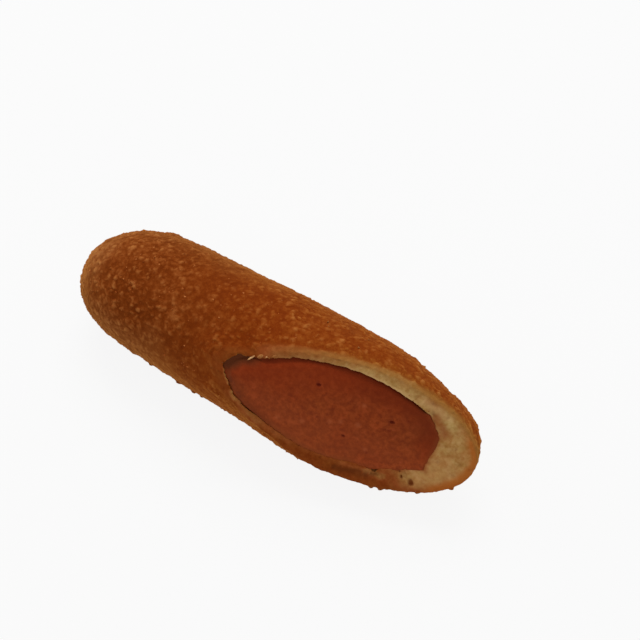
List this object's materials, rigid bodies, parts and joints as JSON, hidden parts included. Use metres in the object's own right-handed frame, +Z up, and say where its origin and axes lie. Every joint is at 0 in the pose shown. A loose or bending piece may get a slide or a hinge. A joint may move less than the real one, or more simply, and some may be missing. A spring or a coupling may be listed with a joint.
{
  "type": "corn dog",
  "caption": "Sausage in a thick coat of browned batter, lying on its side and cut open on a long slant that shows the sausage.",
  "frame": {"origin": "middle of the corn dog's bounding box, on the surface that it lies on", "axes": "+X along the corn dog from its whole end to its cut end, -Y the side that the cut faces, +Z up"},
  "size_m": [0.128, 0.0404, 0.0387],
  "materials": {
    "crust": "crumbly browned fried batter, pale and spongy where it is cut",
    "sausage": "smooth matte red-brown cut meat with a few small pores"
  },
  "bodies": {
    "root": {"batter_coat": "crust", "sausage": "sausage"}
  },
  "joints": []
}
